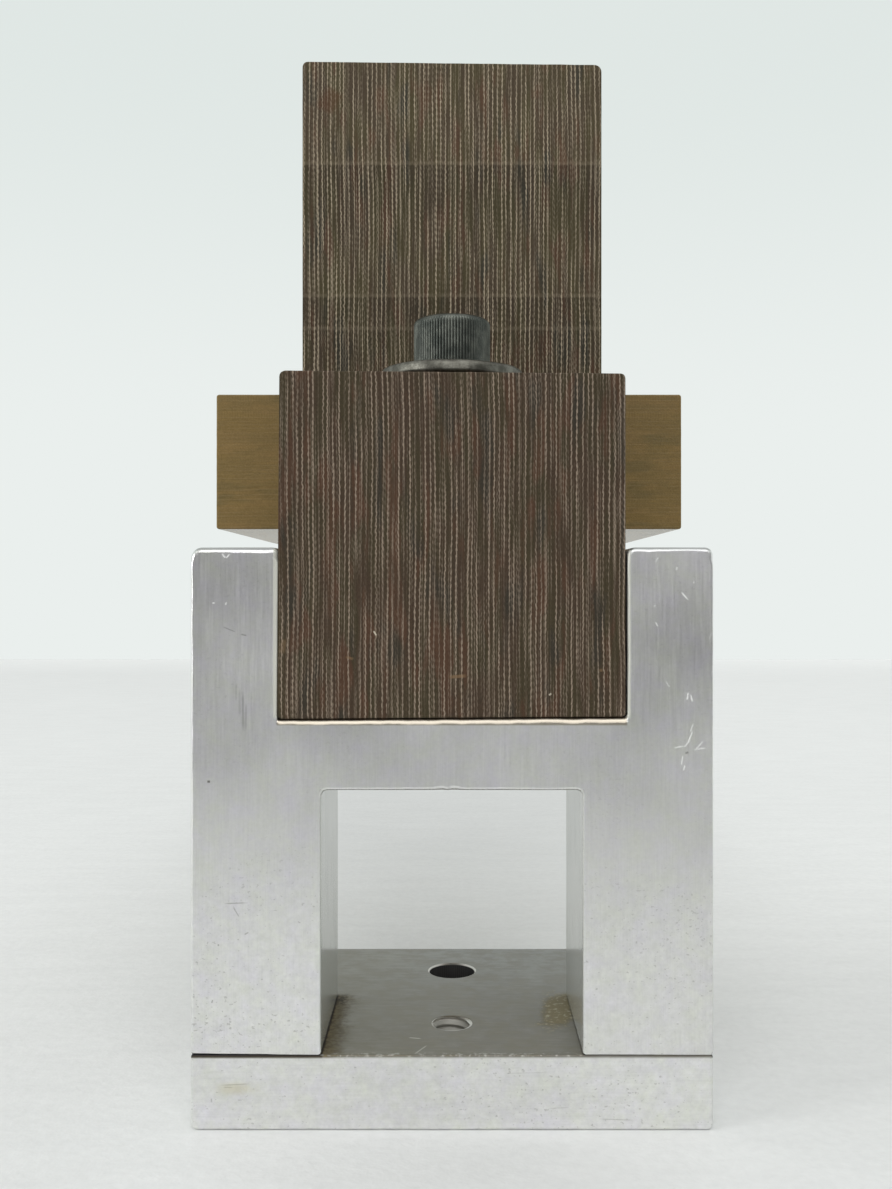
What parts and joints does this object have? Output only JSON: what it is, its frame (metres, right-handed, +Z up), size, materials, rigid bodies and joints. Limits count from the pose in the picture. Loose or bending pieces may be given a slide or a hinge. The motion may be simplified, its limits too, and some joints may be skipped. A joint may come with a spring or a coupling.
{
  "type": "bench holding fixture",
  "caption": "Bench fixture for small work: an aluminium saddle on a thick base plate, holding a stack of laminated phenolic blocks with one knurled socket screw.",
  "frame": {"origin": "centre of the base plate's underside, on the surface it stands on", "axes": "+X to the right and +Y to the back seen from the saddle's front face; +Z up, along the clamp screw's axis"},
  "size_m": [0.0876, 0.1308, 0.167],
  "materials": {
    "machined_aluminium": "machined and brushed, light scratches",
    "laminate_dark": "sawn cloth laminate, edge grain upright, dark brown",
    "laminate_brown": "milled cloth laminate, edge grain upright, brown with tan lines",
    "laminate_olive": "smooth cloth laminate, olive brown, satin faces",
    "fastener_black": "black oxide",
    "washer_grey": "dull zinc, worn",
    "dowel_steel": "ground"
  },
  "bodies": {
    "base_saddle": {"base_plate": "machined_aluminium", "saddle": "machined_aluminium", "saddle_screw_1": "fastener_black", "saddle_screw_2": "fastener_black", "saddle_screw_3": "fastener_black", "saddle_screw_4": "fastener_black"},
    "block_assembly": {"front_block": "laminate_dark", "upright": "laminate_brown", "slab": "laminate_olive", "upright_screw_1": "fastener_black", "upright_screw_2": "fastener_black", "upright_washer_1": "washer_grey", "upright_washer_2": "washer_grey", "upright_dowel_1": "dowel_steel", "upright_dowel_2": "dowel_steel", "slab_screw_1": "fastener_black", "slab_screw_2": "fastener_black", "slab_dowel_1": "dowel_steel", "slab_dowel_2": "dowel_steel"},
    "clamp_washer": {"clamp_washer": "washer_grey"},
    "clamp_screw": {"clamp_screw": "fastener_black"}
  },
  "joints": [
    {"name": "block_lift", "type": "slide", "parent": "base_saddle", "child": "block_assembly", "axis": [0, 0, 1], "range_m": [0, 0.03]},
    {"name": "screw_travel", "type": "slide", "parent": "block_assembly", "child": "clamp_washer", "axis": [0, 0, 1], "range_m": [0, 0.0106]},
    {"name": "screw_turn", "type": "hinge", "parent": "clamp_washer", "child": "clamp_screw", "pos_m": [0, -0.0127, 0.1128], "axis": [0, 0, 1], "range_deg": [0, 2705]}
  ],
  "couplings": [
    {"joint": "screw_turn", "follows": "screw_travel", "rad_per_m": 4452.7}
  ]
}
